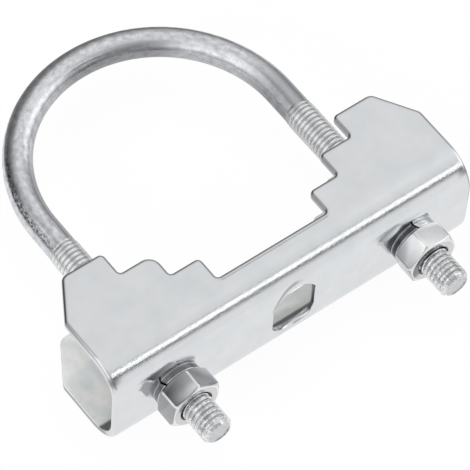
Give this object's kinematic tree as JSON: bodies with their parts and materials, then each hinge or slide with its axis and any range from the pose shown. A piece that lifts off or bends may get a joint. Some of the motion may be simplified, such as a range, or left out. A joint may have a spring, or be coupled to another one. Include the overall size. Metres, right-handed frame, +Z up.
{
  "type": "antenna mast clamp",
  "caption": "U-bolt mast clamp: rod bent to a U with threaded legs, folded steel saddle with stepped jaws, spring washers and hexagon nuts that draw the saddle against a mast.",
  "frame": {"origin": "on the surface the clamp lies on, under the middle of its bounding box", "axes": "+X along the saddle, +Y from the nuts towards the bend of the U-bolt, +Z up along the mast's axis"},
  "size_m": [0.1034, 0.1072, 0.029],
  "materials": {
    "zinc_sheet": "bright zinc plating on pressed sheet steel, satin",
    "zinc_rod": "mottled zinc plating on drawn rod, brighter on the rolled thread",
    "zinc_nut": "bright zinc plating, glossy",
    "zinc_washer": "bright zinc plating, glossy"
  },
  "bodies": {
    "saddle": {"saddle": "zinc_sheet", "spring_washer_left": "zinc_washer", "spring_washer_right": "zinc_washer"},
    "u_bolt": {"u_bolt": "zinc_rod"},
    "nut_left": {"nut_left": "zinc_nut"},
    "nut_right": {"nut_right": "zinc_nut"}
  },
  "joints": [
    {"name": "nut_left_turn", "type": "hinge", "parent": "saddle", "child": "nut_left", "pos_m": [-0.0347, -0.04165, 0.0145], "axis": [0, 1, 0], "range_deg": [-2448, 11520]},
    {"name": "nut_right_turn", "type": "hinge", "parent": "saddle", "child": "nut_right", "pos_m": [0.0347, -0.04165, 0.0145], "axis": [0, 1, 0], "range_deg": [-2448, 11520]},
    {"name": "u_bolt_draw", "type": "slide", "parent": "saddle", "child": "u_bolt", "axis": [0, -1, 0], "range_m": [-0.0085, 0.04]}
  ],
  "couplings": [
    {"joint": "nut_left_turn", "follows": "u_bolt_draw", "rad_per_m": 5026.5},
    {"joint": "nut_right_turn", "follows": "u_bolt_draw", "rad_per_m": 5026.5}
  ]
}
